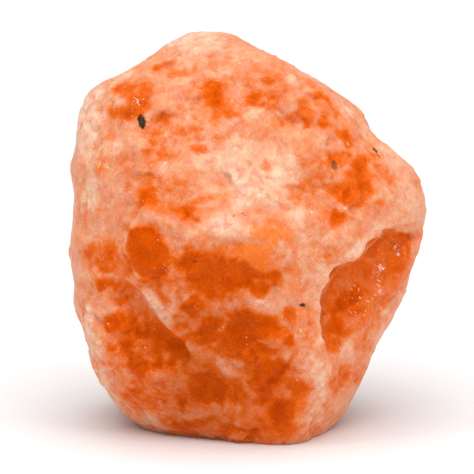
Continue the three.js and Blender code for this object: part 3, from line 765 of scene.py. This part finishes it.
def flat_list(groups):
    return [zone for group in groups.values() for zone in group]


def select_only(piece):
    bpy.ops.object.select_all(action="DESELECT")
    piece.select_set(True)
    bpy.context.view_layer.objects.active = piece


def apply_modifier(piece, kind, **settings):
    """Adds a modifier with these settings and applies it."""
    modifier = piece.modifiers.new(kind.title(), kind)
    for name, value in settings.items():
        setattr(modifier, name, value)
    bpy.ops.object.modifier_apply(modifier=modifier.name)


def soften(piece, rounds):
    apply_modifier(piece, "SMOOTH", factor=0.5, iterations=rounds)


def displace(piece, size, height, depth):
    """Moves the skin along its normals by clouds of this size, with finer ones in them."""
    texture = bpy.data.textures.new("relief", "CLOUDS")
    texture.noise_scale = size
    texture.noise_depth = depth
    apply_modifier(
        piece, "DISPLACE", texture=texture, texture_coords="LOCAL", direction="NORMAL", strength=height,
        mid_level=0.5,
    )
    bpy.data.textures.remove(texture)


def copy_of_node(name):
    """A copy of a node's solid with its loose triangles joined and its sharp edges creased."""
    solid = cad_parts[name]
    piece = bpy.data.objects.new("rough_stone", solid.data.copy())
    bpy.context.scene.collection.objects.link(piece)
    piece.data.materials.clear()
    select_only(piece)
    bpy.ops.object.mode_set(mode="EDIT")
    bpy.ops.mesh.select_all(action="SELECT")
    bpy.ops.mesh.remove_doubles(threshold=0.001 * MM)
    bpy.ops.mesh.normals_make_consistent(inside=False)
    bpy.ops.mesh.select_all(action="DESELECT")
    bpy.ops.mesh.edges_select_sharp(sharpness=SHARP_EDGE)
    bpy.ops.transform.edge_crease(value=EDGE_CREASE)
    bpy.ops.object.mode_set(mode="OBJECT")
    return piece


def push(mesh, heights):
    """Moves each vertex along its normal by its height, in metres."""
    points, normals = vertex_data(mesh)
    mesh.vertices.foreach_set("co", (points + normals * heights[:, None]).ravel())
    mesh.update()


def model_skin(piece, shape):
    """Gives the solid a fine skin with the relief of broken feldspar, and returns where the lip is."""
    apply_modifier(piece, "SUBSURF", levels=2, render_levels=2)
    apply_modifier(piece, "REMESH", mode="VOXEL", voxel_size=shape.voxel, use_smooth_shade=True)
    soften(piece, 6)
    displace(piece, LUMP_SIZE, shape.lump_height, 2)
    rng = np.random.default_rng(shape.seed)
    break_facets(piece.data, shape.plane_size, shape.facet_tilt * PLANE_LEAN, PLANE_STEP, rng)
    soften(piece, 8)
    lip = sculpt_front(piece.data)
    break_facets(piece.data, shape.facet_size, shape.facet_tilt, FACET_STEP, rng)
    soften(piece, 2)
    break_facets(piece.data, shape.facet_size * CHIP_SHARE, shape.facet_tilt, CHIP_STEP, rng)
    soften(piece, 1)
    wear_down(piece.data)
    displace(piece, GRAIN_SIZE, shape.grain_height, 3)
    settle_base(piece.data)
    return lip


def sculpt_front(mesh):
    """Dents and swells the front, breaks its steps, and returns where the right hollow's lip is."""
    points, normals = vertex_data(mesh)
    tree = search_tree(mesh)
    places = ragged(seen_places(points), points, SWELL_DRIFTS)
    heights = np.zeros(len(points))
    for right, up, half_width, half_height, height, *turn in SWELLS.values():
        zone = (right, up, half_width, half_height, 1, *turn)
        heights += height * MM * zone_cover(places, tree, [zone], SWELL_EDGE)
    places = ragged(seen_places(points), points, CLIFF_DRIFTS)
    facing = smooth_step(normals @ np.array(view_axes()[2]), *STEP_FACING)
    for line, drop, run_out in CLIFFS.values():
        heights += facing * MM * cliff_height(places, line, drop, run_out)
    push(mesh, heights)
    return cliff_reach(places, CLIFFS["right hollow's rim"][0])


def cliff_reach(places, line):
    """How far each place lies past a cliff's lip, below 0 on the high side, and how near the lip's ends."""
    corners = np.array(line)
    lengths = np.linalg.norm(np.diff(corners, axis=0), axis=1)
    starts = np.concatenate([[0], np.cumsum(lengths)])
    nearest = np.full(len(places), np.inf)
    side = np.zeros(len(places))
    along = np.zeros(len(places))
    for k, length in enumerate(lengths):
        way = (corners[k + 1] - corners[k]) / length
        offset = places[:, :2] - corners[k]
        reach = np.clip(offset @ way, 0, length)
        gap = np.linalg.norm(offset - reach[:, None] * way, axis=1)
        closer = gap < nearest
        nearest = np.where(closer, gap, nearest)
        side = np.where(closer, offset[:, 1] * way[0] - offset[:, 0] * way[1], side)
        along = np.where(closer, (starts[k] + reach) / starts[-1], along)
    fade = smooth_step(along, 0, STEP_ENDS[0]) * (1 - smooth_step(along, STEP_ENDS[1], 1))
    return np.sign(side) * nearest, fade


def cliff_height(places, line, drop, run_out):
    """How far each place stands above its old height beside a cliff's lip, in millimetres."""
    past, fade = cliff_reach(places, line)
    low = smooth_step(past, -LIP_EDGE, LIP_EDGE)
    ground = -drop * low * (1 - smooth_step(past, LEVEL_SHARE * run_out, run_out))
    lip = LIP_RISE * drop * (1 - low) * (1 - smooth_step(-past, 0, LIP_WIDTH))
    return fade * (ground + lip)


def break_facets(mesh, size, tilt, step, rng):
    """Breaks the skin into facets, each leaning its own way and standing out by up to a step of its size."""
    points, normals = vertex_data(mesh)
    area = sum(polygon.area for polygon in mesh.polygons)
    count = int(area / size**2)
    seeds = KDTree(count)
    centres = points[rng.choice(len(points), count)]
    for k, centre in enumerate(centres):
        seeds.insert(centre, k)
    seeds.balance()
    leans = rng.normal(size=(count, 3)) * math.tan(tilt)
    warped = points + FACET_WARP * size * drift(points, 0.5 * size, (3, 3, 7))
    nearest = np.array([seeds.find(place)[1] for place in warped])
    heights = np.sum((points - centres[nearest]) * leans[nearest], axis=1)
    worn = smooth_step(drift(points, WORN_WAVE, (1, 6, 2))[:, 0], *WORN_STEP)
    rough = WORN_RELIEF + (1 - WORN_RELIEF) * worn
    outline = 1 - smooth_step(np.abs(normals @ np.array(view_axes()[2])), *OUTLINE_FACING)
    push(mesh, np.clip(heights, -step * size, step * size) * rough * (1 - OUTLINE_CALM * outline))


def settle_base(mesh):
    """Flattens the base, which the relief roughened, and keeps the rest above it."""
    points, normals = vertex_data(mesh)
    low = CAD_BOX[0][2]
    flat_top, bent_top = low + FLAT_FOOT, low + BENT_FOOT
    base = points[:, 2] < bent_top
    share = smooth_step(points[:, 2], flat_top, bent_top)
    flat = low + share * (points[:, 2] - low)
    down = base & (normals[:, 2] < DOWNWARD)
    points[down, 2] = flat[down]
    points[:, 2] = np.maximum(points[:, 2], low)
    mesh.vertices.foreach_set("co", points.ravel())
    mesh.update()


def hollowness(mesh, points, normals):
    """How far the skin lies below its own smoothed surface at each vertex, in millimetres."""
    edges = np.empty(2 * len(mesh.edges), dtype=np.int32)
    mesh.edges.foreach_get("vertices", edges)
    ends = np.concatenate([edges.reshape(-1, 2), edges.reshape(-1, 2)[:, ::-1]])
    count = np.bincount(ends[:, 0], minlength=len(points))
    smoothed = points
    for _ in range(HOLLOW_ROUNDS):
        sums = [np.bincount(ends[:, 0], axis[ends[:, 1]], len(points)) for axis in smoothed.T]
        smoothed = np.stack(sums, axis=1) / count[:, None]
    return np.sum((smoothed - points) * normals, axis=1) / MM


def wear_down(mesh):
    """Fills the deepest pits and wears down the sharpest spikes."""
    points, normals = vertex_data(mesh)
    hollow = hollowness(mesh, points, normals)
    push(mesh, (hollow - np.clip(hollow, -PIT_DEPTH, PIT_DEPTH)) * MM)


def lip_bands(lip, front):
    """Where the floor, the rim and the wall beside the right hollow's lip are, from 0 to 1."""
    past, fade = lip
    return [
        front * fade * smooth_step(past, start, full) * (1 - smooth_step(past, fading, gone))
        for start, full, fading, gone in (FLOOR_BAND, RIM_BAND, WALL_BAND)
    ]


def paint_zones(piece, shape, lip):
    """Stores how orange, milky and bright the stone is at each vertex, its painted shade, where it glints,
    with a painted pale glint colour, and how calm.
    """
    mesh = piece.data
    points, normals = vertex_data(mesh)
    tree = search_tree(mesh)
    places = ragged(seen_places(points), points, ZONE_DRIFTS)
    front = smooth_step(normals @ np.array(view_axes()[2]), *ZONE_FACING)
    rest = 1 - front
    rng = np.random.default_rng(shape.seed)
    strewn_points = points
    for reach, wave, shift in STREWN_DRIFTS:
        strewn_points = strewn_points + reach * MM * drift(points / MM, wave, shift)

    def strewn(name):
        return scattered_cover(strewn_points, normals, *STREWN_ZONES[name], rng)

    def seen(zones, edge=ZONE_EDGE):
        return zone_cover(places, tree, zones, edge)

    washes = strewn("washes")
    patches = strewn("orange")
    orange = rest * (1 - (1 - washes) * (1 - patches)) + front * seen(flat_list(ORANGE_ZONES))
    milk = rest * strewn("milky") + front * seen(flat_list(MILKY_ZONES))
    bright = rest * strewn("bright") + front * seen(flat_list(BRIGHT_ZONES))
    # Painted shade: zones on the front, and on the sides and back the colour darkens towards the bottom.
    painted_shade = rest * smooth_step(-points[:, 2] / MM, -SHADE_FOOT[0], -SHADE_FOOT[1]) * STREWN_SHADE
    painted_shade += front * seen(flat_list(PAINTED_SHADE_ZONES), PAINTED_SHADE_EDGE)
    sparkle_and_painted_glint = rest * strewn("sparkle_and_painted_glint") + front * seen(flat_list(SPARKLE_AND_PAINTED_GLINT_ZONES))
    for layer, (share, level) in ((orange, SHADE_ORANGE_PULL), (milk, SHADE_MILK_PULL)):
        layer += share * painted_shade * (level - layer)

    places = ragged(places, points, PATCH_DRIFTS)
    clear_patches = front * seen(ORANGE_PATCHES, PATCH_EDGE)
    cream_patches = front * seen(CREAM_PATCHES, PATCH_EDGE)
    orange = np.clip(orange + clear_patches - cream_patches, 0, 1)
    milk = np.clip(milk + cream_patches - PATCH_MILK_LOSS * clear_patches, 0, 1)
    floor, rim, wall = lip_bands(lip, front)
    # A painted shadow on the wall under the overhanging lip.
    painted_shade = np.maximum(painted_shade, WALL_SHADOW * wall)
    # The rim loses orange and gets a pale band: the stone's milk and a painted highlight on the lit lip.
    orange *= 1 - RIM_ORANGE_LOSS * rim
    milk = np.maximum(milk, RIM_MILK_AND_HIGHLIGHT * rim)
    orange = np.maximum(orange, FLOOR_ORANGE * floor)
    milk *= 1 - FLOOR_MILK_LOSS * floor
    margin = np.maximum(seen(MILKY_ZONES["wedge"]), FAR_MARGIN_GAIN * seen(MILKY_ZONES["hollow's far side"]))
    orange *= 1 - MARGIN_ORANGE_LOSS * front * np.minimum(margin, 1)

    # Painted shade in hollows, which turn more orange, and painted highlight on crests, which turn milkier.
    hollow = hollowness(mesh, points, normals) + CURVE_OFFSET
    share = (RELIEF_SHADE_TINT + PAINTED_SHADE_RELIEF_TINT * painted_shade) * (1 - rim) * (1 - wall)
    orange = np.clip(orange + share * smooth_step(hollow, *RELIEF_STEP), 0, 1)
    milk = np.clip(milk + share * smooth_step(-hollow, *RELIEF_STEP), 0, 1)
    calm = np.maximum(SHADE_CALM * painted_shade, FLOOR_CALM * floor)
    calm = np.maximum(calm, PATCH_CALM * np.maximum(clear_patches, cream_patches))
    store_layer(mesh, "zones", orange, milk, bright)
    store_layer(mesh, "light", painted_shade, sparkle_and_painted_glint, calm)


def store_layer(mesh, name, *channels):
    """Stores three numbers for each vertex as a colour layer."""
    layer = mesh.color_attributes.new(name, "FLOAT_COLOR", "POINT")
    values = np.stack([*channels, np.ones(len(channels[0]))], axis=1)
    layer.data.foreach_set("color", values.astype(np.float32).ravel())


class NodeDesk:
    """Adds and links the nodes of one material."""

    def __init__(self, material):
        self.tree = material.node_tree
        self.tree.nodes.clear()
        self.count = 0

    def add(self, kind, **settings):
        node = self.tree.nodes.new(kind)
        node.location = (220 * (self.count % 12), -260 * (self.count // 12))
        self.count += 1
        for name, value in settings.items():
            setattr(node, name, value)
        return node

    def put(self, socket, value):
        """Sets a socket to a number or colour, or links it."""
        if isinstance(value, bpy.types.NodeSocket):
            self.tree.links.new(value, socket)
        elif isinstance(socket.default_value, (float, int)):
            socket.default_value = value
        else:
            count = len(socket.default_value)
            socket.default_value = (*value, 1.0)[:count]

    def put_all(self, node, **values):
        """Sets or links the sockets of these names, written with _ for a space."""
        for name, value in values.items():
            self.put(node.inputs[name.replace("_", " ")], value)

    def math(self, operation, a, b=0.0, c=0.0, clamp=False):
        node = self.add("ShaderNodeMath", operation=operation, use_clamp=clamp)
        for socket, value in zip(node.inputs, (a, b, c)):
            self.put(socket, value)
        return node.outputs[0]

    def vector(self, operation, a, b=(0, 0, 0)):
        node = self.add("ShaderNodeVectorMath", operation=operation)
        self.put(node.inputs[0], a)
        self.put(node.inputs["Scale"] if operation == "SCALE" else node.inputs[1], b)
        return node.outputs["Value" if operation in ("LENGTH", "DOT_PRODUCT") else "Vector"]

    def noise(self, place, wave, detail=3.0, roughness=0.55, distortion=0.0, shift=None, output="Fac"):
        """Noise from 0 to 1 with waves this many millimetres long."""
        if shift:
            place = self.vector("ADD", place, shift)
        node = self.add("ShaderNodeTexNoise")
        self.put_all(
            node, Vector=place, Scale=1.0 / wave, Detail=detail, Roughness=roughness, Distortion=distortion,
        )
        return node.outputs[output]

    def ramp(self, value, low, high, to_low=0.0, to_high=1.0):
        node = self.add("ShaderNodeMapRange", interpolation_type="SMOOTHSTEP")
        self.put_all(node, Value=value, From_Min=low, From_Max=high, To_Min=to_low, To_Max=to_high)
        return node.outputs["Result"]

    def mix(self, share, a, b):
        """A colour between two others."""
        node = self.add("ShaderNodeMix", data_type="RGBA", clamp_factor=True)
        for socket, value in zip((node.inputs[0], *node.inputs[6:8]), (share, a, b)):
            self.put(socket, value)
        return node.outputs[2]

    def blend(self, share, a, b):
        """A number between two others."""
        node = self.add("ShaderNodeMix", data_type="FLOAT", clamp_factor=True)
        for socket, value in zip((node.inputs[0], *node.inputs[2:4]), (share, a, b)):
            self.put(socket, value)
        return node.outputs[0]

    def turn(self, share, a, b):
        """A direction between two others."""
        node = self.add("ShaderNodeMix", data_type="VECTOR", clamp_factor=True)
        for socket, value in zip((node.inputs[0], *node.inputs[4:6]), (share, a, b)):
            self.put(socket, value)
        return node.outputs[1]

    def sum(self, start, *shares):
        """Adds numbers, each times its gain."""
        total = start
        for value, gain in shares:
            total = self.math("MULTIPLY_ADD", value, gain, total)
        return total

    def split(self, value):
        """The three numbers of a colour."""
        node = self.add("ShaderNodeSeparateColor")
        self.put(node.inputs[0], value)
        return node.outputs

    def layer(self, name):
        """The three numbers of a colour layer."""
        return self.split(self.add("ShaderNodeAttribute", attribute_name=name).outputs["Color"])

    def cells(self, place, scale):
        """Cells about one scaled unit wide, with the distance to their middles and a colour for each."""
        node = self.add("ShaderNodeTexVoronoi", feature="F1")
        self.put_all(node, Vector=place, Scale=scale)
        return node.outputs["Distance"], node.outputs["Color"]

    def scale_of(self, value, stops):
        """A scale of colours that a number picks from."""
        node = self.add("ShaderNodeValToRGB")
        self.put(node.inputs[0], value)
        elements = node.color_ramp.elements
        for element, (position, colour) in zip(elements, (stops[0], stops[-1])):
            element.position = position
            element.color = (*colour, 1)
        for position, colour in stops[1:-1]:
            elements.new(position).color = (*colour, 1)
        return node.outputs["Color"]


def centred(desk, value):
    return desk.math("SUBTRACT", value, 0.5)


def stirred(desk, start, patterns, gains):
    """Adds patterns to a number, each from its middle and times its gain."""
    return desk.sum(start, *[(centred(desk, patterns[name]), gain) for name, gain in gains.items()])


def stretched(desk, place, turn, size):
    """Places in which a blotch one unit wide becomes a streak of this size, in mm, that lies this way."""
    node = desk.add("ShaderNodeMapping", vector_type="TEXTURE")
    desk.put_all(node, Vector=place, Rotation=turn, Scale=size)
    return node.outputs[0]


def woven_fibres(desk, place):
    """Fine streaks that lie two ways, as cleavage does, thin lines along them, and hairs, all from 0 to 1."""
    streaks = []
    lines = []
    hairs = []
    for turn in FIBRE_TURNS:
        way = stretched(desk, place, turn, FIBRE_SIZE)
        streaks.append(desk.noise(way, *STREAK_NOISE))
        edge = desk.math("ABSOLUTE", centred(desk, desk.noise(way, *LINE_NOISE)))
        lines.append(desk.ramp(edge, *RAMPS["lines"]))
        hairs.append(desk.noise(way, *HAIR_NOISE))
    share = desk.ramp(desk.noise(place, *WEAVE_NOISE), *RAMPS["weave"])
    return [desk.blend(share, *pair) for pair in (streaks, lines, hairs)]


def mineral_patterns(desk, place):
    """The noises, fibres and pale marks that break up the stone's colours."""
    patterns = {name: desk.noise(place, *settings) for name, settings in NOISES.items()}
    patterns["fibres"], lines, patterns["hairs"] = woven_fibres(desk, place)
    distance, _ = desk.cells(place, 1 / SPECK_SPACING)
    lines = desk.math("MULTIPLY", lines, desk.ramp(patterns["shade"], *RAMPS["shown lines"]))
    sugar = desk.ramp(patterns["sugar"], *RAMPS["sugar"])
    # Pale specks: partly pale flakes in the stone, partly painted glints.
    specks = desk.math("MULTIPLY", desk.ramp(distance, *RAMPS["specks"]), sugar)
    patterns["pale"] = desk.math("MAXIMUM", lines, specks)
    return patterns


def feldspar_colour(desk, colours, patterns, zones, painted_shade, calm):
    """The stone's colour from its zones and the patterns that stir them, darkened by painted shade."""
    orange, milk, bright = zones
    stir = desk.math("SUBTRACT", 1.0, calm, clamp=True)
    orange_stir = desk.math("MULTIPLY", stirred(desk, 0.0, patterns, ORANGE_STIR), stir)
    orange_share = desk.ramp(desk.sum(orange, (orange_stir, 1.0)), *RAMPS["orange"])
    milk_stir = desk.math("MULTIPLY", stirred(desk, 0.0, patterns, MILK_STIR), stir)
    milk_share = desk.ramp(desk.sum(milk, (milk_stir, 1.0)), *RAMPS["milk"])
    unrest = stirred(desk, 0.0, patterns, CLEARNESS_STIR)
    unrest = desk.math("MULTIPLY", unrest, desk.sum(CALM_CLEARNESS_STIR, (stir, 1 - CALM_CLEARNESS_STIR)))
    clear = desk.sum(STONE_CLEARNESS, (orange_share, ORANGE_GAIN), (milk_share, -MILK_GAIN), (unrest, 1.0))
    body = desk.scale_of(clear, [(position, getattr(colours, name)) for name, position in BODY_STOPS.items()])
    flush = desk.ramp(patterns["shade"], *RAMPS["flush"])
    flush = desk.math("MULTIPLY", flush, desk.ramp(clear, *RAMPS["flush in milky stone"]))
    body = desk.mix(flush, body, colours.blush)
    gold = stirred(desk, desk.sum(0.0, (bright, GOLD_GAIN)), patterns, GOLD_STIR)
    body = desk.mix(desk.ramp(gold, *RAMPS["gold"]), body, colours.amber)
    fleck = desk.add("ShaderNodeHueSaturation")
    value = stirred(desk, 1.0, patterns, VALUE_STIR)
    # Painted shade darkens the value here, and pale marks, partly painted glints, lighten it.
    desk.put_all(fleck, Value=desk.sum(value, (patterns["pale"], PALE_GAIN), (painted_shade, -SHADE_DARKENING)), Color=body)
    return fleck.outputs[0]


def grain_mask(desk, place, tree, name):
    """Where one dark grain shows, from 0 to 1: a small ragged ellipsoid in the skin."""
    right_mm, up_mm, half_width, half_height, turn, darkness = DARK_GRAINS[name]
    right, up, back = view_axes()
    centre = box_middle() / MM + right * (right_mm + SECTION_MIDDLE[0] / MM)
    centre = centre + up * (up_mm + SECTION_MIDDLE[1] / MM)
    depth = surface_depth(tree, right_mm, up_mm)
    toward = (camera_place() / MM - centre).normalized()
    centre = centre + toward * depth / toward.dot(back)
    angle = math.radians(turn)
    along = right * math.cos(angle) + up * math.sin(angle)
    over = up * math.cos(angle) - right * math.sin(angle)
    offset = desk.vector("SUBTRACT", place, centre)
    reach = desk.add("ShaderNodeCombineXYZ")
    for socket, axis in zip(reach.inputs, (along / half_width, over / half_height, back / GRAIN_DEPTH)):
        desk.put(socket, desk.vector("DOT_PRODUCT", offset, axis))
    return desk.ramp(desk.vector("LENGTH", reach.outputs[0]), *GRAIN_EDGE, darkness, 0.0)


def dark_grains(desk, place, tree):
    """Where dark grains show, from 0 to 1."""
    jitter = desk.vector("SUBTRACT", desk.noise(place, *JITTER_NOISE, output="Color"), (0.5, 0.5, 0.5))
    place = desk.vector("ADD", place, desk.vector("SCALE", jitter, GRAIN_JITTER))
    dark = 0.0
    for name in DARK_GRAINS:
        dark = desk.math("MAXIMUM", grain_mask(desk, place, tree, name), dark)
    return dark


def put_platelets(desk, shader, place, body, roughness, normal, sparkle_and_painted_glint, dark, colours):
    """Sets tiny metallic platelets in the stone, each leaning its own way, so that some catch the light, and
    paints them a pale glint colour where the stone glints most, as a painted highlight.
    """
    _, cell = desk.cells(stretched(desk, place, FIBRE_TURNS[0], PLATELET_SIZE), 1.0)
    lot = desk.math("FRACT", desk.sum(0.0, *zip(desk.split(cell), LOT_GAINS)))
    lone = desk.ramp(desk.noise(place, *LONE_GLINT_NOISE), *RAMPS["lone glints"])
    clump = desk.ramp(desk.noise(place, *CLUMP_NOISE), *RAMPS["clumps"])
    sparkle_and_painted_glint = desk.math("MULTIPLY", sparkle_and_painted_glint, clump)
    chosen = desk.ramp(desk.sum(lot, (sparkle_and_painted_glint, PLATELET_GAIN), (lone, 1.0), (dark, -1.0)), *RAMPS["chosen"])
    lean = desk.vector("SUBTRACT", cell, (0.5, 0.5, 0.5))
    tilted = desk.vector("NORMALIZE", desk.vector("ADD", normal, desk.vector("SCALE", lean, PLATELET_LEAN)))
    # The pale tint where many platelets glint is a painted highlight.
    tint = desk.mix(desk.ramp(sparkle_and_painted_glint, *RAMPS["glint tint"]), colours.platelet, colours.glint)
    desk.put_all(
        shader,
        Normal=desk.turn(chosen, normal, tilted),
        Base_Color=desk.mix(chosen, body, tint),
        Metallic=desk.math("MULTIPLY", chosen, PLATELET_METAL),
        Roughness=desk.blend(chosen, roughness, PLATELET_ROUGHNESS),
    )


def stone_material(colours, piece):
    """Feldspar from milk to burnt orange, with painted shade, pale and dark marks, platelets with painted
    glints, and a glow under its skin.
    """
    material = bpy.data.materials.new("broken feldspar")
    material.use_nodes = True
    desk = NodeDesk(material)
    place = desk.vector("SCALE", desk.add("ShaderNodeTexCoord").outputs["Object"], 1 / MM)
    zones = desk.layer("zones")
    painted_shade, sparkle_and_painted_glint, calm = desk.layer("light")
    patterns = mineral_patterns(desk, place)
    body = feldspar_colour(desk, colours, patterns, zones, painted_shade, calm)
    dark = dark_grains(desk, place, search_tree(piece.data))
    soot = desk.mix(desk.ramp(patterns["mottle"], *RAMPS["soot"]), SOOT, colours.grain)
    body = desk.mix(dark, body, soot)

    shader = desk.add("ShaderNodeBsdfPrincipled")
    desk.put_all(
        shader, IOR=1.52, Specular_IOR_Level=0.2, Specular_Tint=body, Subsurface_Weight=0.6,
        Subsurface_Radius=(1.0, 0.35, 0.12), Subsurface_Scale=1.5 * MM,
    )
    bump = desk.add("ShaderNodeBump")
    relief = desk.sum(0.0, *[(patterns[name], gain) for name, gain in RELIEF_GAINS.items()])
    desk.put_all(bump, Height=relief, Strength=0.55, Distance=0.3 * MM)
    roughness = desk.ramp(patterns["wisps"], *RAMPS["roughness"])
    put_platelets(desk, shader, place, body, roughness, bump.outputs[0], sparkle_and_painted_glint, dark, colours)
    output = desk.add("ShaderNodeOutputMaterial")
    desk.put(output.inputs["Surface"], shader.outputs[0])
    return material


class SUNSTONE_OT_stone(bpy.types.Operator):
    """Models the rough stone round its solid and gives it its material."""

    bl_idname = "sunstone.stone"
    bl_label = "Rough stone"

    def execute(self, context):
        shape = context.scene.sunstone_shape
        noise.seed_set(shape.seed)
        piece = copy_of_node(NODE)
        lip = model_skin(piece, shape)
        paint_zones(piece, shape, lip)
        apply_modifier(piece, "DECIMATE", ratio=shape.kept_share)
        piece.data.materials.append(stone_material(context.scene.sunstone_colours, piece))
        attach(piece, "root")
        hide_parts(NODE)
        return {"FINISHED"}


def add_key(settings):
    """A broad light overhead and in front, as even over the whole floor as a white ceiling."""
    turned = (math.pi / 2 - settings.key_rise, 0, 0)
    bpy.ops.object.light_add(type="SUN", location=(0, 0, 1), rotation=turned)
    key = bpy.context.active_object
    key.name = "broad ceiling light"
    key.data.energy = settings.key_strength
    key.data.angle = settings.key_spread


def add_sparkle(name, place, power):
    """A small softbox that makes the facets glint."""
    bpy.ops.object.light_add(type="AREA", location=place)
    light = bpy.context.active_object
    light.name = name
    light.data.shape = "DISK"
    light.data.size = SPARKLE_SIZE
    light.data.energy = power
    light.rotation_euler = (box_middle() - Vector(place)).to_track_quat("-Z", "Y").to_euler()


class SUNSTONE_OT_stage(bpy.types.Operator):
    """Lays the floor and sets the lights and the camera."""

    bl_idname = "sunstone.stage"
    bl_label = "Studio"

    def execute(self, context):
        settings = context.scene.sunstone_stage
        bpy.ops.object.select_all(action="DESELECT")
        bpy.ops.mesh.primitive_plane_add(size=FLOOR_SIZE, location=(0, 0, CAD_BOX[0][2]))
        floor = context.active_object
        floor.name = "studio_floor"
        paint = bpy.data.materials.new("matt white paint")
        paint.use_nodes = True
        shader = paint.node_tree.nodes["Principled BSDF"]
        shader.inputs["Base Color"].default_value = (*settings.floor_colour, 1)
        shader.inputs["Roughness"].default_value = 0.9
        floor.data.materials.append(paint)
        add_key(settings)
        for name, (place, share) in SPARKLES.items():
            add_sparkle(name, place, settings.sparkle_power * share)
        world = bpy.data.worlds.new("studio air")
        world.use_nodes = True
        world.node_tree.nodes["Background"].inputs["Color"].default_value = (1, 1, 1, 1)
        world.node_tree.nodes["Background"].inputs["Strength"].default_value = settings.sky_strength
        context.scene.world = world
        context.scene.view_settings.view_transform = "Standard"
        bpy.ops.object.camera_add(location=camera_place(), rotation=(math.pi / 2 - VIEW_RISE, 0, 0))
        camera = context.active_object
        camera.name = "front camera"
        camera.data.sensor_width = SENSOR_WIDTH
        camera.data.lens = SENSOR_WIDTH * VIEW_DISTANCE / VIEW_WIDTH
        camera.data.clip_start = 0.01
        context.scene.camera = camera
        return {"FINISHED"}


class SUNSTONE_PT_panel(bpy.types.Panel):
    """Lists the stone and the studio."""

    bl_label = "Rough sunstone"
    bl_idname = "SUNSTONE_PT_panel"
    bl_space_type = "VIEW_3D"
    bl_region_type = "UI"
    bl_category = "Sunstone"

    def draw(self, context):
        for operator, group in (
            (SUNSTONE_OT_stone.bl_idname, context.scene.sunstone_shape),
            (SUNSTONE_OT_stone.bl_idname, context.scene.sunstone_colours),
            (SUNSTONE_OT_stage.bl_idname, context.scene.sunstone_stage),
        ):
            box = self.layout.box()
            for name in group.__annotations__:
                box.prop(group, name)
            box.operator(operator)


GROUPS = {"sunstone_shape": StoneShape, "sunstone_colours": StoneColours, "sunstone_stage": StageSettings}
CLASSES = (*GROUPS.values(), SUNSTONE_OT_stone, SUNSTONE_OT_stage, SUNSTONE_PT_panel)


def register():
    for each in CLASSES:
        bpy.utils.register_class(each)
    for name, group in GROUPS.items():
        setattr(bpy.types.Scene, name, PointerProperty(type=group))


def unregister():
    for name in GROUPS:
        delattr(bpy.types.Scene, name)
    for each in reversed(CLASSES):
        bpy.utils.unregister_class(each)


def main():
    register()
    bpy.ops.sunstone.stone()
    bpy.ops.sunstone.stage()


if __name__ == "__main__":
    main()
